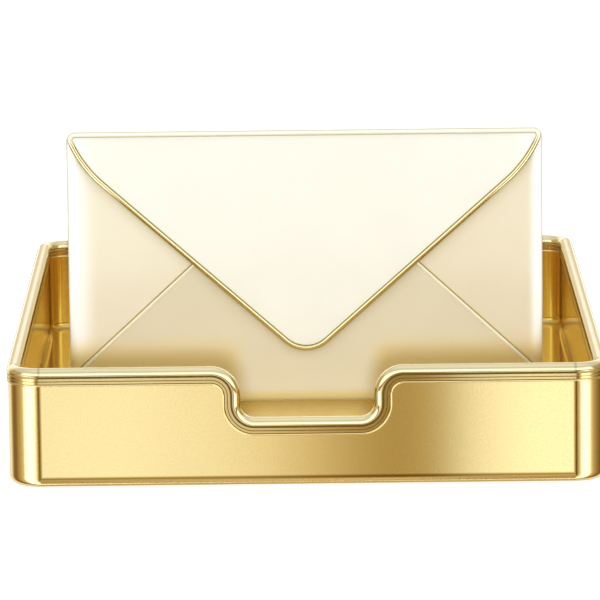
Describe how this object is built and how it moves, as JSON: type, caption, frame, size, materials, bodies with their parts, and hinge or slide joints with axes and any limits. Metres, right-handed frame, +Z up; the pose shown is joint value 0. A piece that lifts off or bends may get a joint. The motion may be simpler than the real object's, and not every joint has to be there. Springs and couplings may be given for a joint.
{
  "type": "desk letter tray with a standing envelope",
  "caption": "Shallow double-walled desk tray with a rolled rim and a finger notch, holding a thick standing envelope with a hinged pointed flap.",
  "frame": {"origin": "on the desk, under the middle of the tray", "axes": "+Z up, the notched front wall faces -Y, +X to the right seen from the front"},
  "size_m": [0.2644, 0.3324, 0.1413],
  "materials": {
    "gold_satin": "satin gold",
    "gold_pan": "satin deep gold",
    "gold_polished": "polished gold",
    "piping_gold": "polished gold",
    "envelope_pearl": "pearl satin",
    "letter_paper": "plain paper",
    "pad_rubber": "matte",
    "steel": "zinc plated"
  },
  "bodies": {
    "tray": {"outer_shell": "gold_satin", "inner_pan": "gold_pan", "rim_moulding": "gold_polished", "base_plate": "gold_satin", "pan_standoffs": "steel", "base_screws": "steel", "foot_pad_front_left": "pad_rubber", "foot_pad_front_right": "pad_rubber", "foot_pad_rear_left": "pad_rubber", "foot_pad_rear_right": "pad_rubber", "letter_channel": "gold_pan", "channel_rivets": "gold_polished"},
    "envelope": {"envelope_back": "envelope_pearl", "side_flap_left": "envelope_pearl", "side_flap_right": "envelope_pearl", "bottom_flap": "envelope_pearl", "seam_piping_left": "piping_gold", "seam_piping_right": "piping_gold", "flap_hinge_strip": "envelope_pearl", "letter": "letter_paper"},
    "flap": {"top_flap": "envelope_pearl", "flap_piping": "piping_gold"}
  },
  "joints": [
    {"name": "envelope_lift", "type": "slide", "parent": "tray", "child": "envelope", "axis": [0, 0, 1], "range_m": [0, 0.08]},
    {"name": "flap_hinge", "type": "hinge", "parent": "envelope", "child": "flap", "pos_m": [0, -0.053, 0.14], "axis": [-1, 0, 0], "range_deg": [0, 180]}
  ]
}
